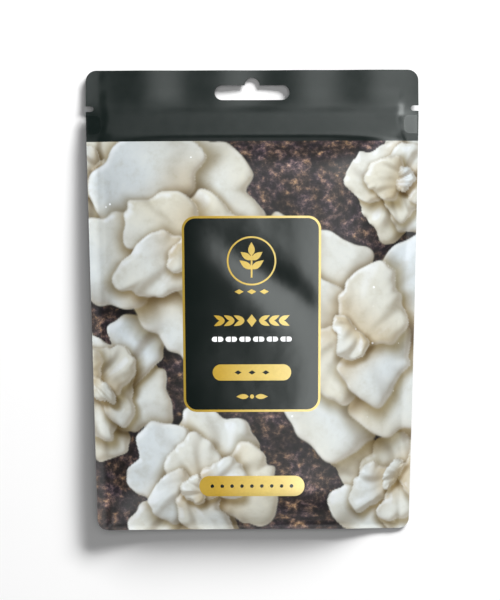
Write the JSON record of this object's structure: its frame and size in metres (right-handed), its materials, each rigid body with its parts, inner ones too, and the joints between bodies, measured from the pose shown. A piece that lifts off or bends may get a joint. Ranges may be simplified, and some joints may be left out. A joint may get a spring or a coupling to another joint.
{
  "type": "resealable capsule pouch",
  "caption": "Flat sealed film pouch filled with hard capsules, with a hang hole, side tear notches and a press-to-close zip below the header.",
  "frame": {"origin": "on the surface the pouch lies on, under the middle of its outline", "axes": "+X along its width to the right as read from the front, +Y up to the header and hang hole, +Z out of the printed front"},
  "size_m": [0.14, 0.193, 0.0168],
  "materials": {
    "printed_film": "satin printed film",
    "dark_film": "satin",
    "zip_plastic": "satin",
    "capsule_shell": "gloss"
  },
  "bodies": {
    "root": {"front_film": "printed_film", "back_film": "dark_film", "zip_rib_track": "zip_plastic", "zip_channel_track": "zip_plastic", "capsules_low_1": "capsule_shell", "capsules_low_2": "capsule_shell", "capsules_low_3": "capsule_shell", "capsules_low_4": "capsule_shell", "capsules_low_5": "capsule_shell", "capsules_low_6": "capsule_shell", "capsules_high_1": "capsule_shell", "capsules_high_2": "capsule_shell", "capsules_high_3": "capsule_shell", "capsules_high_4": "capsule_shell", "capsules_high_5": "capsule_shell"}
  },
  "joints": []
}
